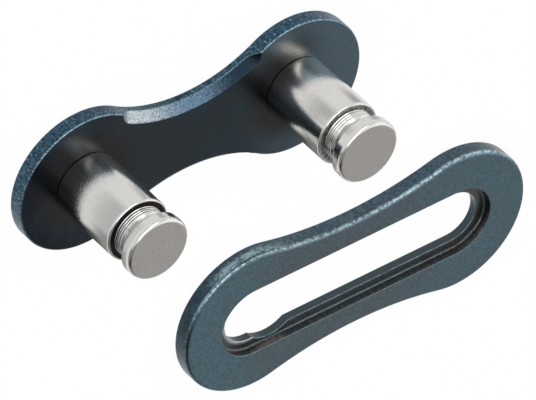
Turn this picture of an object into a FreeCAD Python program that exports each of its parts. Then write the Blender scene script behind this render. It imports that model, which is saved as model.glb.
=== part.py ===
"""Snap-fit connecting link for a half-inch pitch roller chain, in millimetres.

The pin plate lies on its back face with its two riveted pins standing up.  The loose slotted
plate, which snaps over the pin heads in use, lies beside it with its recessed outer face up.
The origin is midway between the two pin axes, on the back face of the pin plate.
"""
import math
import os

import FreeCAD
import Part
import Sketcher

DIMENSIONS = (
    ("pitch", 12.7, "distance between the two pin axes"),
    # Pin plate
    ("pin_plate_thickness", 0.87, "sheet thickness of the pin plate"),
    ("pin_plate_lobe", 3.96, "round end of the pin plate, about a pin axis"),
    ("pin_plate_waist", 4.24, "width of the pin plate at its waist"),
    ("pin_plate_round", 0.09, "rounding of the sheared edges of the pin plate"),
    ("upper_scoop_width", 0.5, "width of the deep pressed scoop, on the inner face"),
    ("upper_scoop_drop", 0.45, "depth of that scoop where it meets the edge of the plate"),
    ("lower_scoop_width", 0.18, "width of the shallow scoop along the other waist"),
    ("lower_scoop_drop", 0.08, "depth of the shallow scoop where it meets the edge"),
    ("scoop_overrun", 0.25, "how far the scoops' press tools reach past the edge"),
    ("scoop_half_angle", 26.5, "half of the arc that each scoop follows, in degrees"),
    # Pins
    ("shaft_radius", 1.77, "bearing part of a pin, which the inner links turn on"),
    ("shaft_length", 4.32, "from the inner face of the pin plate to the shoulder"),
    ("base_round", 0.06, "rounding of the shaft's lower edge, on the inner face"),
    ("shoulder_round", 0.12, "rounding of the shoulder's edge"),
    ("collar_radius", 1.42, "grooved collar above the shoulder"),
    ("collar_length", 0.48, "length of the collar"),
    ("neck_radius", 1.23, "plain neck between the collar and the head"),
    ("neck_length", 0.56, "length of the plain neck"),
    ("head_radius", 1.79, "round head that holds the slotted plate on"),
    ("head_thickness", 0.72, "height of the head"),
    ("head_round", 0.24, "rounding of the head's outer rim"),
    ("head_underside_round", 0.1, "rounding of the head's lower rim"),
    ("ring_depth", 0.05, "depth of each turned ring in the collar"),
    ("ring_width", 0.1, "width of each turned ring at the surface"),
    ("ring_spacing", 0.15, "distance from one turned ring to the next"),
    ("ring_count", 3, "turned rings in each collar"),
    ("tenon_radius", 1.45, "stepped end of the pin, which fills the hole in the pin plate"),
    ("rivet_spread", 0.16, "how far the peened end spreads past the tenon"),
    ("rivet_depth", 0.25, "depth of the countersink that the peened end fills"),
    ("rivet_dish_radius", 1.0, "shallow dish that the peening leaves in the pin's end"),
    ("rivet_dish_depth", 0.08, "depth of that dish"),
    # Slotted plate
    ("slotted_plate_thickness", 1.0, "sheet thickness of the slotted plate"),
    ("slotted_plate_lobe", 4.27, "round end of the slotted plate, about a pin axis"),
    ("slotted_plate_waist", 6.86, "width of the slotted plate at its waist"),
    ("outer_edge_round", 0.22, "rolled edge round the outer face"),
    ("inner_edge_round", 0.08, "rounding of the edge round the inner face"),
    ("recess_depth", 0.5, "depth of the recess that takes the pin heads"),
    ("head_clearance", 0.28, "gap between a head and the wall of the recess"),
    ("collar_clearance", 0.12, "gap between a collar and the round seat of the slot"),
    ("slot_clearance", 0.1, "gap between a collar and the side of the slot"),
    ("bay_clearance", 0.1, "gap between a head and the round bay that it passes"),
    ("bay_offset", 1.25, "distance from the seat to the bay that a head passes"),
    # Layout on the surface that both pieces lie on
    ("slotted_plate_x", 10.55, "centre of the slotted plate along the pitch line"),
    ("slotted_plate_y", -14.17, "centre of the slotted plate across the pitch line"),
    ("slotted_plate_turn", 1.25, "angle between the two plates, in degrees"),
)
TOOL_CLEARANCE = 0.3
SAME_PLACE = 1e-4
FULL_TURN = 360
SHEET = "Dimensions"

# Points of an edge in a sketch, and the sketch's horizontal axis, whose start is its origin
START, END, CENTRE = 1, 2, 3
H_AXIS = -1


def make_sheet(document):
    """Write the driving dimensions into a spreadsheet, one aliased cell each."""
    sheet = document.addObject("Spreadsheet::Sheet", SHEET)
    for row, (alias, value, meaning) in enumerate(DIMENSIONS, start=1):
        sheet.set(f"A{row}", meaning)
        sheet.set(f"B{row}", str(value))
        sheet.setAlias(f"B{row}", alias)
    document.recompute()
    return sheet


def cell(alias):
    """Return the expression that reads one dimension."""
    return f"{SHEET}.{alias}"


class Measure:
    """Sums and differences of cells, kept both as numbers and as expressions."""

    def __init__(self, value, expression):
        self.pair = (value, expression)

    def __add__(self, other):
        return Measure(self.pair[0] + other.pair[0], f"({self.pair[1]} + {other.pair[1]})")

    def __sub__(self, other):
        return Measure(self.pair[0] - other.pair[0], f"({self.pair[1]} - {other.pair[1]})")

    def __mul__(self, other):
        return Measure(self.pair[0] * other.pair[0], f"({self.pair[1]} * {other.pair[1]})")

    def __truediv__(self, other):
        return Measure(self.pair[0] / other.pair[0], f"({self.pair[1]} / {other.pair[1]})")


def number(value):
    """Return a plain number as a measure."""
    return Measure(value, str(value))


def read(sheet, alias):
    """Return one dimension as a measure."""
    return Measure(float(getattr(sheet, alias)), cell(alias))


def origin_plane(body, role):
    """Return one of the body's own origin planes or axes."""
    return next(item for item in body.Origin.OriginFeatures if item.Role == role)


def add_sketch(body, name, role, height=None):
    """Put an empty sketch on an origin plane of the body, raised by an expression."""
    sketch = body.newObject("Sketcher::SketchObject", name)
    sketch.AttachmentSupport = [(origin_plane(body, role), "")]
    sketch.MapMode = "FlatFace"
    if height:
        sketch.setExpression("AttachmentOffset.Base.z", height)
    return sketch


def bind(sketch, kind, items, value, expression):
    """Add a dimensional constraint to the sketch and tie it to an expression."""
    index = sketch.addConstraint(Sketcher.Constraint(kind, *items, value))
    sketch.setExpression(f"Constraints[{index}]", expression)


def relate(sketch, kind, *items):
    """Add a geometric constraint to the sketch."""
    sketch.addConstraint(Sketcher.Constraint(kind, *items))


def vector(across, along=0.0):
    """Return a point of a sketch."""
    return FreeCAD.Vector(across, along, 0)


def arc(centre, radius, start, end):
    """Return an arc of a sketch, from start to end anticlockwise, in radians."""
    circle = Part.Circle(centre, FreeCAD.Vector(0, 0, 1), radius)
    return Part.ArcOfCircle(circle, start, end)


def waist_hollow(sheet, plate):
    """Return the radius of the arc that joins a plate's two lobes tangentially at its waist."""
    half_pitch = read(sheet, "pitch") / number(2)
    half_waist = read(sheet, f"{plate}_waist") / number(2)
    lobe = read(sheet, f"{plate}_lobe")
    squares = half_pitch * half_pitch + half_waist * half_waist - lobe * lobe
    return squares / (number(2) * (lobe - half_waist))


def draw_plate_outline(sketch, sheet, plate):
    """Draw the closed outline of a plate: two lobes joined by two hollow waist arcs."""
    half_pitch = sheet.pitch / 2
    lobe, lobe_expression = read(sheet, f"{plate}_lobe").pair
    hollow, hollow_expression = waist_hollow(sheet, plate).pair
    rise = getattr(sheet, f"{plate}_waist") / 2 + hollow
    lean = math.atan2(rise, -half_pitch)
    dip = math.atan2(-rise, half_pitch)
    right, top, left, bottom = (
        sketch.addGeometry(item, False)
        for item in (
            arc(vector(half_pitch), lobe, -lean, lean),
            arc(vector(0, rise), hollow, -math.pi - dip, dip),
            arc(vector(-half_pitch), lobe, math.pi - lean, math.pi + lean),
            arc(vector(0, -rise), hollow, -dip, math.pi + dip),
        )
    )
    relate(sketch, "Tangent", right, END, top, END)
    relate(sketch, "Tangent", top, START, left, START)
    relate(sketch, "Tangent", left, END, bottom, END)
    relate(sketch, "Tangent", bottom, START, right, START)
    centre_ends(sketch, right, left, half_pitch)
    bind(sketch, "Radius", (right,), lobe, lobe_expression)
    relate(sketch, "Equal", right, left)
    bind(sketch, "Radius", (top,), hollow, hollow_expression)
    relate(sketch, "Equal", top, bottom)


def centre_ends(sketch, right, left, half_pitch):
    """Put the centres of two end arcs on the two pin axes."""
    for end, side in ((right, 1), (left, -1)):
        relate(sketch, "PointOnObject", end, CENTRE, H_AXIS)
        expression = f"{side} * {cell('pitch')} / 2"
        bind(sketch, "DistanceX", (H_AXIS, START, end, CENTRE), side * half_pitch, expression)


def draw_stadium(sketch, sheet, radius, expression):
    """Draw a slot whose round ends are centred on the two pin axes."""
    half_pitch = sheet.pitch / 2
    quarter = math.pi / 2
    right, left, upper, lower = (
        sketch.addGeometry(item, False)
        for item in (
            arc(vector(half_pitch), radius, -quarter, quarter),
            arc(vector(-half_pitch), radius, quarter, 3 * quarter),
            Part.LineSegment(vector(half_pitch, radius), vector(-half_pitch, radius)),
            Part.LineSegment(vector(-half_pitch, -radius), vector(half_pitch, -radius)),
        )
    )
    relate(sketch, "Tangent", right, END, upper, START)
    relate(sketch, "Tangent", upper, END, left, START)
    relate(sketch, "Tangent", left, END, lower, START)
    relate(sketch, "Tangent", lower, END, right, START)
    centre_ends(sketch, right, left, half_pitch)
    bind(sketch, "Radius", (right,), radius, expression)


def draw_circle(sketch, centre, radius, centre_expression, radius_expression):
    """Draw a circle whose centre lies on the pitch line."""
    circle = sketch.addGeometry(Part.Circle(vector(centre), FreeCAD.Vector(0, 0, 1), radius), False)
    relate(sketch, "PointOnObject", circle, CENTRE, H_AXIS)
    bind(sketch, "DistanceX", (H_AXIS, START, circle, CENTRE), centre, centre_expression)
    bind(sketch, "Radius", (circle,), radius, radius_expression)


def draw_profile(sketch, corners):
    """Draw a closed profile of straight runs.

    Each corner is a pair of (value, expression) pairs: across the sketch, then along it.
    """
    points = [vector(across[0], along[0]) for across, along in corners]
    count = len(points)
    lines = [
        sketch.addGeometry(Part.LineSegment(points[index], points[(index + 1) % count]), False)
        for index in range(count)
    ]
    for index, (across, along) in enumerate(corners):
        relate(sketch, "Coincident", lines[index - 1], END, lines[index], START)
        for kind, (value, expression) in (("DistanceX", across), ("DistanceY", along)):
            bind(sketch, kind, (H_AXIS, START, lines[index], START), value, expression)


def draw_upright_axis(sketch, place, expression):
    """Draw a construction line across the sketch's horizontal axis, to turn a profile about."""
    axis = sketch.addGeometry(Part.LineSegment(vector(place, 0), vector(place, 1)), True)
    relate(sketch, "Vertical", axis)
    relate(sketch, "PointOnObject", axis, START, H_AXIS)
    bind(sketch, "DistanceX", (H_AXIS, START, axis, START), place, expression)
    bind(sketch, "DistanceY", (axis, START, axis, END), 1.0, "1")


def pad(body, name, sketch, expression):
    """Pad a sketch upwards."""
    feature = body.newObject("PartDesign::Pad", name)
    feature.Profile = sketch
    feature.setExpression("Length", expression)
    body.Document.recompute()
    return feature


def pocket_through(body, name, sketch):
    """Cut a sketch that lies on the lower face right through the body."""
    feature = body.newObject("PartDesign::Pocket", name)
    feature.Profile = sketch
    feature.Type = "ThroughAll"
    feature.Reversed = True
    body.Document.recompute()
    return feature


def groove(body, name, sketch, axis, angle=None):
    """Cut by turning a profile, right round or evenly to both sides of its plane."""
    feature = body.newObject("PartDesign::Groove", name)
    feature.Profile = sketch
    feature.ReferenceAxis = (sketch, [axis])
    feature.Angle = FULL_TURN
    if angle:
        feature.Midplane = True
        feature.setExpression("Angle", angle)
    body.Document.recompute()
    return feature


def mirrored(body, name, originals, role):
    """Repeat features on the other side of one of the body's origin planes."""
    feature = body.newObject("PartDesign::Mirrored", name)
    feature.Originals = originals
    feature.MirrorPlane = (origin_plane(body, role), [""])
    body.Tip = feature
    body.Document.recompute()
    return feature


def fillet(body, name, base, wanted, expression):
    """Round the edges of the base feature for which wanted(edge) is true."""
    names = [f"Edge{index}" for index, edge in enumerate(base.Shape.Edges, start=1) if wanted(edge)]
    if not names:
        raise ValueError(f"{name} finds no edge to round")
    feature = body.newObject("PartDesign::Fillet", name)
    feature.Base = (base, names)
    feature.setExpression("Radius", expression)
    body.Document.recompute()
    return feature


def lies_at(edge, height):
    """Tell whether an edge lies wholly at one height."""
    box = edge.BoundBox
    return max(abs(box.ZMin - height), abs(box.ZMax - height)) < SAME_PLACE


def is_ring(edge, height, radius):
    """Tell whether an edge is a circle of one radius at one height."""
    curve = edge.Curve
    if not lies_at(edge, height) or not isinstance(curve, Part.Circle):
        return False
    return abs(curve.Radius - radius) < SAME_PLACE


def make_plate_blank(document, sheet, name, edge_rounds):
    """Blank a plate from sheet and round its sheared edges.

    edge_rounds holds the cell for the lower edges, then the cell for the upper edges.
    """
    body = document.addObject("PartDesign::Body", name)
    body.Label = name
    outline = add_sketch(body, f"{name}_outline", "XY_Plane")
    draw_plate_outline(outline, sheet, name)
    blank = pad(body, f"{name}_blank", outline, cell(f"{name}_thickness"))
    lower, upper = edge_rounds
    top = getattr(sheet, f"{name}_thickness")
    feature = fillet(body, f"{name}_lower_edge", blank, lambda edge: lies_at(edge, 0), cell(lower))
    fillet(body, f"{name}_upper_edge", feature, lambda edge: lies_at(edge, top), cell(upper))
    return body


def cut_pin_holes(body, sheet):
    """Cut the two pin holes, each countersunk below for the peened end of its pin."""
    half_pitch = read(sheet, "pitch") / number(2)
    wall = half_pitch + read(sheet, "tenon_radius")
    flare = wall + read(sheet, "rivet_spread")
    top = read(sheet, "pin_plate_thickness")
    ground = number(0)
    profile = add_sketch(body, "pin_hole_profile", "XZ_Plane")
    draw_profile(
        profile,
        [
            (half_pitch.pair, ground.pair),
            (flare.pair, ground.pair),
            (wall.pair, read(sheet, "rivet_depth").pair),
            (wall.pair, top.pair),
            (half_pitch.pair, top.pair),
        ],
    )
    draw_upright_axis(profile, *half_pitch.pair)
    hole = groove(body, "right_pin_hole", profile, "Axis0")
    mirrored(body, "left_pin_hole", [hole], "YZ_Plane")


def press_scoop(body, sheet, name, side):
    """Press a bevelled scoop with round ends into the inner face, along one waist.

    side is 1 for the waist on the positive side of the pitch line, -1 for the other.
    """
    waist = read(sheet, "pin_plate_waist") / number(2)
    hollow = waist_hollow(sheet, "pin_plate")
    width = read(sheet, f"{name}_width")
    drop = read(sheet, f"{name}_drop")
    overrun = read(sheet, "scoop_overrun")
    top = read(sheet, "pin_plate_thickness")
    above = number(TOOL_CLEARANCE)
    deepest = drop * (width + overrun) / width
    widest = (width + overrun) * (deepest + above) / deepest
    tool_edge = waist + overrun
    sign = number(side)
    profile = add_sketch(body, f"{name}_profile", "YZ_Plane")
    draw_profile(
        profile,
        [
            ((sign * tool_edge).pair, (top - deepest).pair),
            ((sign * tool_edge).pair, (top + above).pair),
            ((sign * (tool_edge - widest)).pair, (top + above).pair),
        ],
    )
    arc_centre = sign * (waist + hollow)
    draw_upright_axis(profile, *arc_centre.pair)
    groove(body, name, profile, "Axis0", f"2 * {cell('scoop_half_angle')}")
    angle = f"({cell('scoop_half_angle')} * 1deg)"
    path = (hollow - overrun).pair[1]
    for end, label in ((1, "right"), (-1, "left")):
        cone = body.newObject("PartDesign::SubtractiveCone", f"{name}_{label}_end")
        cone.setExpression("Radius1", "0")
        cone.setExpression("Radius2", widest.pair[1])
        cone.setExpression("Height", (deepest + above).pair[1])
        cone.setExpression("Placement.Base.x", f"{end} * {path} * sin({angle})")
        cone.setExpression("Placement.Base.y", f"{arc_centre.pair[1]} - {side} * {path} * cos({angle})")
        cone.setExpression("Placement.Base.z", (top - deepest).pair[1])
        body.Document.recompute()


def make_pin_plate(document, sheet):
    """Make the back plate that carries the two pins."""
    body = make_plate_blank(document, sheet, "pin_plate", ("pin_plate_round", "pin_plate_round"))
    cut_pin_holes(body, sheet)
    press_scoop(body, sheet, "upper_scoop", 1)
    press_scoop(body, sheet, "lower_scoop", -1)
    return body


def make_pin(document, sheet, name, side):
    """Turn one pin: peened tenon, shaft, shoulder, ringed collar, neck and round head."""
    body = document.addObject("PartDesign::Body", name)
    body.Label = name
    shaft = read(sheet, "shaft_radius")
    collar = read(sheet, "collar_radius")
    neck = read(sheet, "neck_radius")
    head = read(sheet, "head_radius")
    tenon = read(sheet, "tenon_radius")
    seat = read(sheet, "pin_plate_thickness")
    shoulder = seat + read(sheet, "shaft_length")
    collar_end = shoulder + read(sheet, "collar_length")
    step_end = collar_end + collar - neck
    underside = collar_end + read(sheet, "neck_length")
    top = underside + read(sheet, "head_thickness")
    centre = number(0)
    ground = number(0)
    profile = add_sketch(body, f"{name}_profile", "XZ_Plane")
    draw_profile(
        profile,
        [
            (centre.pair, read(sheet, "rivet_dish_depth").pair),
            (read(sheet, "rivet_dish_radius").pair, ground.pair),
            ((tenon + read(sheet, "rivet_spread")).pair, ground.pair),
            (tenon.pair, read(sheet, "rivet_depth").pair),
            (tenon.pair, seat.pair),
            (shaft.pair, seat.pair),
            (shaft.pair, shoulder.pair),
            (collar.pair, shoulder.pair),
            (collar.pair, collar_end.pair),
            (neck.pair, step_end.pair),
            (neck.pair, underside.pair),
            (head.pair, underside.pair),
            (head.pair, top.pair),
            (centre.pair, top.pair),
        ],
    )
    turned = body.newObject("PartDesign::Revolution", f"{name}_turned")
    turned.Profile = profile
    turned.ReferenceAxis = (profile, ["V_Axis"])
    turned.Angle = FULL_TURN
    document.recompute()
    rounds = (
        ("base", "base_round", seat, shaft),
        ("shoulder", "shoulder_round", shoulder, shaft),
        ("rim", "head_round", top, head),
        ("underside", "head_underside_round", underside, head),
    )
    feature = turned
    for place, alias, height, radius in rounds:
        level, reach = height.pair[0], radius.pair[0]
        feature = fillet(
            body, f"{name}_{place}", feature, lambda edge: is_ring(edge, level, reach), cell(alias)
        )
    turn_rings(body, sheet, name, collar, shoulder)
    body.setExpression("Placement.Base.x", f"{side} * {cell('pitch')} / 2")
    return body


def turn_rings(body, sheet, name, collar, shoulder):
    """Turn a row of fine V rings into the collar above the shoulder."""
    spacing = read(sheet, "ring_spacing")
    half_width = read(sheet, "ring_width") / number(2)
    depth = read(sheet, "ring_depth")
    middle = shoulder + spacing / number(2)
    profile = add_sketch(body, f"{name}_ring_profile", "XZ_Plane")
    draw_profile(
        profile,
        [
            ((collar - depth).pair, middle.pair),
            ((collar + depth).pair, (middle - half_width - half_width).pair),
            ((collar + depth).pair, (middle + half_width + half_width).pair),
        ],
    )
    ring = groove(body, f"{name}_ring", profile, "V_Axis")
    rings = body.newObject("PartDesign::LinearPattern", f"{name}_rings")
    rings.Originals = [ring]
    rings.Direction = (origin_plane(body, "Z_Axis"), [""])
    rings.setExpression("Length", f"{cell('ring_spacing')} * ({cell('ring_count')} - 1)")
    rings.setExpression("Occurrences", cell("ring_count"))
    body.Tip = rings
    body.Document.recompute()


def make_slotted_plate(document, sheet):
    """Make the loose plate: a head recess, a slot with a round seat, and the passing bay."""
    edges = ("inner_edge_round", "outer_edge_round")
    body = make_plate_blank(document, sheet, "slotted_plate", edges)
    half_pitch = read(sheet, "pitch") / number(2)
    head, collar = read(sheet, "head_radius"), read(sheet, "collar_radius")

    recess_sketch = add_sketch(body, "recess_outline", "XY_Plane", cell("slotted_plate_thickness"))
    draw_stadium(recess_sketch, sheet, *(head + read(sheet, "head_clearance")).pair)
    recess = body.newObject("PartDesign::Pocket", "recess")
    recess.Profile = recess_sketch
    recess.setExpression("Length", cell("recess_depth"))
    document.recompute()

    slot_sketch = add_sketch(body, "slot_outline", "XY_Plane")
    draw_stadium(slot_sketch, sheet, *(collar + read(sheet, "slot_clearance")).pair)
    pocket_through(body, "slot", slot_sketch)

    seat = (collar + read(sheet, "collar_clearance")).pair
    bay = (head + read(sheet, "bay_clearance")).pair
    seat_centre = (number(0) - half_pitch).pair
    bay_centre = (read(sheet, "bay_offset") - half_pitch).pair
    for name, centre, radius in (("seat", seat_centre, seat), ("bay", bay_centre, bay)):
        sketch = add_sketch(body, f"{name}_outline", "XY_Plane")
        draw_circle(sketch, centre[0], radius[0], centre[1], radius[1])
        pocket_through(body, name, sketch)

    upright = FreeCAD.Rotation(FreeCAD.Vector(0, 0, 1), sheet.slotted_plate_turn)
    body.Placement = FreeCAD.Placement(FreeCAD.Vector(), upright)
    body.setExpression("Placement.Base.x", cell("slotted_plate_x"))
    body.setExpression("Placement.Base.y", cell("slotted_plate_y"))
    body.setExpression("Placement.Rotation.Angle", cell("slotted_plate_turn"))
    return body


def check(document, bodies):
    """Stop if any feature failed or any piece isn't one valid solid."""
    for item in document.Objects:
        if {"Invalid", "Error"} & set(item.State):
            raise RuntimeError(f"{item.Name} failed: {item.State}")
    for body in bodies:
        shape = body.Shape
        if shape.isNull() or not shape.isValid() or len(shape.Solids) != 1:
            raise RuntimeError(f"{body.Label} is not one valid solid")
        size = shape.BoundBox
        extent = f"{size.XLength:.2f} x {size.YLength:.2f} x {size.ZLength:.2f}"
        print(f"{body.Label}: {shape.Volume:.3f} mm3, {extent}")


def main():
    """Build the document and write each piece to its own file."""
    document = FreeCAD.newDocument("connecting_link")
    sheet = make_sheet(document)
    bodies = [
        make_pin_plate(document, sheet),
        make_pin(document, sheet, "left_pin", -1),
        make_pin(document, sheet, "right_pin", 1),
        make_slotted_plate(document, sheet),
    ]
    document.recompute()
    check(document, bodies)
    os.makedirs("parts", exist_ok=True)
    for body in bodies:
        body.Shape.exportStep(f"parts/{body.Label}.step")


main()
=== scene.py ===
"""Looks of a snap-fit connecting link for a half-inch pitch roller chain.

The pin plate lies on its back with its two riveted pins standing up, and the loose slotted
plate lies beside it with its recessed outer face up.  Lengths are in millimetres, in the frame
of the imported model, and become metres where a mesh, a light or the camera is made.
"""

import logging
import math
from dataclasses import dataclass, field
from enum import Enum
from typing import Any

import bmesh
import bpy
import numpy as np
from mathutils import Matrix, Vector

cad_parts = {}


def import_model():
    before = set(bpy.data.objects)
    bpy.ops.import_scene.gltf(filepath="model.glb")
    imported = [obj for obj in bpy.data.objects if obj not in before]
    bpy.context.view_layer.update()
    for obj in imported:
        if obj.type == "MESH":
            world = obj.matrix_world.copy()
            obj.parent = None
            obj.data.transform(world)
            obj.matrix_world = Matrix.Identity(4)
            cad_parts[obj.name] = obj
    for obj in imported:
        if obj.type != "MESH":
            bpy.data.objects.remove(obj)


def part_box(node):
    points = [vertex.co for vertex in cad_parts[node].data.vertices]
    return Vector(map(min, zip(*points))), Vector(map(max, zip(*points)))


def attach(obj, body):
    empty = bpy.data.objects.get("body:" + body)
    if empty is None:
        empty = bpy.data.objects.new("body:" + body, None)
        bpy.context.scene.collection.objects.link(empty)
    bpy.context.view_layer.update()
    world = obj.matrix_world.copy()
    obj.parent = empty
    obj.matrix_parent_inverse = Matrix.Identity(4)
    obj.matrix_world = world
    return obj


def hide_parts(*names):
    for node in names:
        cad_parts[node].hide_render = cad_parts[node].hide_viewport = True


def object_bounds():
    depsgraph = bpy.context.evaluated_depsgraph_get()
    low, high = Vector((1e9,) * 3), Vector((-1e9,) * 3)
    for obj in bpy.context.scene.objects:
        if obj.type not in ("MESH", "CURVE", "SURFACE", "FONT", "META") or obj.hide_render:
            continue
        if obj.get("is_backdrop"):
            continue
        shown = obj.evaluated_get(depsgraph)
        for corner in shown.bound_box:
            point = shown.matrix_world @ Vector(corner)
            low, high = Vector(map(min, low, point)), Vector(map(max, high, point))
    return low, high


Array = np.ndarray
Amount = float | Array
Marks = dict[str, Array]
Pair = tuple[float, float]
Vector3 = tuple[float, float, float]
Colour = Vector3

MM = 0.001
HALF_PITCH = 6.35
QUARTER = math.pi / 2
DIRECTIONS = np.arange(0.0, 360.0, 2.0)
# Largest distance between stations, and steps round a plate's end and round a panel's end.
STATION_SPACING = 0.05
END_STEPS = 90
PANEL_STEPS = 24
LOG = logging.getLogger("connecting_link")


class Finish(Enum):
    """The material slots of the record."""

    BLUED_STEEL = "blued_steel"
    BLUED_FACE = "blued_face"
    BRIGHT_STEEL = "bright_steel"


class Mark(Enum):
    """Names of the masks that a mesh carries for its finish."""

    WALL = "sheared_wall"
    # Edge wear with painted highlight lines along the rounds and lips.
    RIM = "edge_line"
    SCOOP = "pressed_scoop"
    ROLL = "rolled_edge"
    LEDGE = "recess_floor"
    STEP = "recess_wall"
    SLOT = "slot_wall"
    END = "head_face"
    # Painted shade: darker colour in the pins' creases and on one side of each pin.
    GRIME = "grime"
    WORN = "worn_face"
    # Painted highlights: a reflection streak beside the pins and a bright line round the seat.
    BARE = "bare_patch"
    TONE = "tone"


# Meshes


@dataclass(frozen=True)
class Patch:
    """A grid of points, in millimetres, with one value of each mark at every point.

    Attributes:
        points: Rows by columns by three coordinates.
        marks: Mask name to rows by columns.
        ring_rows: Whether the last row joins the first.
        ring_columns: Whether the last column joins the first.
    """

    points: Array
    marks: Marks = field(default_factory=dict)
    ring_rows: bool = False
    ring_columns: bool = True

    def quads(self, first: int) -> Array:
        """Work out the faces between neighbouring points.

        Args:
            first: Number of the patch's first vertex in the mesh.

        Returns:
            Vertex numbers, four to a face.
        """
        rows, columns = self.points.shape[:2]
        index = np.arange(rows * columns).reshape(rows, columns) + first
        if self.ring_rows:
            index = np.vstack([index, index[:1]])
        if self.ring_columns:
            index = np.hstack([index, index[:, :1]])
        corners = index[:-1, :-1], index[:-1, 1:], index[1:, 1:], index[1:, :-1]
        return np.stack(corners, axis=-1).reshape(-1, 4)


def make_piece(name: str, patches: list[Patch], weld: float = 1e-4) -> bpy.types.Object:
    """Join grids into one closed, smoothly shaded mesh whose faces point outwards.

    Args:
        name: Name of the new object.
        patches: Grids that share the points of their common borders.
        weld: Distance under which two points are one, in millimetres.

    Returns:
        The object, linked to the scene, with its place in its mesh.
    """
    points = np.concatenate([patch.points.reshape(-1, 3) for patch in patches]) * MM
    faces, first = [], 0
    for patch in patches:
        faces.append(patch.quads(first))
        first += patch.points.shape[0] * patch.points.shape[1]
    mesh = bpy.data.meshes.new(name)
    mesh.from_pydata(points, [], np.concatenate(faces))
    for mark in sorted({key for patch in patches for key in patch.marks}):
        values = [
            patch.marks.get(mark, np.zeros(patch.points.shape[:2])).ravel() for patch in patches
        ]
        mesh.attributes.new(mark, "FLOAT", "POINT").data.foreach_set("value", np.concatenate(values))
    work = bmesh.new()
    work.from_mesh(mesh)
    bmesh.ops.remove_doubles(work, verts=work.verts, dist=weld * MM)
    bmesh.ops.recalc_face_normals(work, faces=work.faces)
    work.to_mesh(mesh)
    work.free()
    mesh.polygons.foreach_set("use_smooth", np.ones(len(mesh.polygons), bool))
    piece = bpy.data.objects.new(name, mesh)
    bpy.context.scene.collection.objects.link(piece)
    return piece


def rounded_path(corners: list[tuple[float, float, float]], steps: int = 7) -> Array:
    """Run a line through corners and round each of them with a tangent arc.

    A round of radius r at a corner with half angle a starts r / tan(a) before it, and its
    centre is r / sin(a) away on the bisector.  A spare point beside each end of the arc keeps
    the shading of the flat beyond it flat.

    Args:
        corners: Across, along and radius of each corner.
        steps: Points on each arc.

    Returns:
        Points of the line, two coordinates each.
    """
    spare = 0.35
    places = np.array(corners)[:, :2]
    line = [places[:1]]
    for before, here, after, radius in zip(places, places[1:], places[2:], np.array(corners)[1:, 2]):
        if radius == 0:
            line.append(here[None])
            continue
        back = (before - here) / np.linalg.norm(before - here)
        on = (after - here) / np.linalg.norm(after - here)
        half = math.acos(float(np.clip(back @ on, -1, 1))) / 2
        start = here + back * radius / math.tan(half)
        end = here + on * radius / math.tan(half)
        middle = (back + on) / np.linalg.norm(back + on)
        centre = here + middle * radius / math.sin(half)
        share = np.linspace(0, 1, steps)[:, None]
        sweep = math.pi - 2 * half
        turned = np.sin((1 - share) * sweep) * (start - centre) + np.sin(share * sweep) * (end - centre)
        arc = centre + turned / math.sin(sweep)
        line += [(start + back * spare * radius)[None], arc, (end + on * spare * radius)[None]]
    line.append(places[-1:])
    return np.concatenate(line)


def smooth(low: float, high: float, value: Amount) -> Amount:
    """Rise smoothly from 0 at low to 1 at high: 3t squared less 2t cubed."""
    share = np.clip((value - low) / (high - low), 0, 1)
    return share * share * (3 - 2 * share)


# Outlines of the plates


@dataclass(frozen=True)
class Stations:
    """Matched places round a link plate, anticlockwise from below the right pin axis.

    Round each end the direction turns about the pin axis, and between the ends it points
    straight across the pitch line.

    Attributes:
        foot: Where each direction starts on the pitch line.
        aim: Unit directions, two coordinates each.
        half_pitch: Distance from the middle of the plate to a pin axis.
    """

    foot: Array
    aim: Array
    half_pitch: float

    @classmethod
    def around(cls, half_pitch: float, corners: list[float], spacing: float) -> "Stations":
        """Spread stations evenly, with extra ones close to both sides of given places.

        Args:
            half_pitch: Distance from the middle of the plate to a pin axis.
            corners: Places on the pitch line where a loop has a corner.
            spacing: Largest distance between stations between the ends.

        Returns:
            The stations.
        """
        close = 0.012
        turn = np.linspace(-QUARTER, QUARTER, END_STEPS + 1)[:-1]
        extra = [x + side for x in corners for side in (-close, 0, close)]
        stops = sorted([-half_pitch, *extra, half_pitch])
        runs = [
            np.linspace(low, high, max(1, math.ceil((high - low) / spacing)) + 1)[:-1]
            for low, high in zip(stops, stops[1:])
        ]
        rising = np.concatenate([*runs, [half_pitch]])
        ends = np.stack([np.cos(turn), np.sin(turn)], axis=1)
        across = np.tile([[0.0, 1.0]], (len(rising) - 1, 1))
        right, left = (np.full(END_STEPS, place) for place in (half_pitch, -half_pitch))
        foot = np.concatenate([right, rising[:0:-1], left, rising[:-1]])
        return cls(foot, np.concatenate([ends, across, -ends, -across]), half_pitch)

    def loop(self, reach: Amount) -> Array:
        """Return the points that lie at some reach from the feet."""
        feet = np.stack([self.foot, np.zeros_like(self.foot)], axis=1)
        return feet + self.aim * np.reshape(reach, (-1, 1))

    @property
    def across(self) -> Array:
        """Tell which stations lie between the ends."""
        return np.abs(self.aim[:, 0]) < 1e-9


def loop_normals(points: Array) -> Array:
    """Work out the outward normals of a closed anticlockwise loop, square to its neighbours' chord.

    Args:
        points: Points of the loop, two coordinates each.

    Returns:
        Unit normals, one for each point.
    """
    chord = np.roll(points, -1, axis=0) - np.roll(points, 1, axis=0)
    chord /= np.linalg.norm(chord, axis=1, keepdims=True)
    return np.stack([chord[:, 1], -chord[:, 0]], axis=1)


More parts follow.
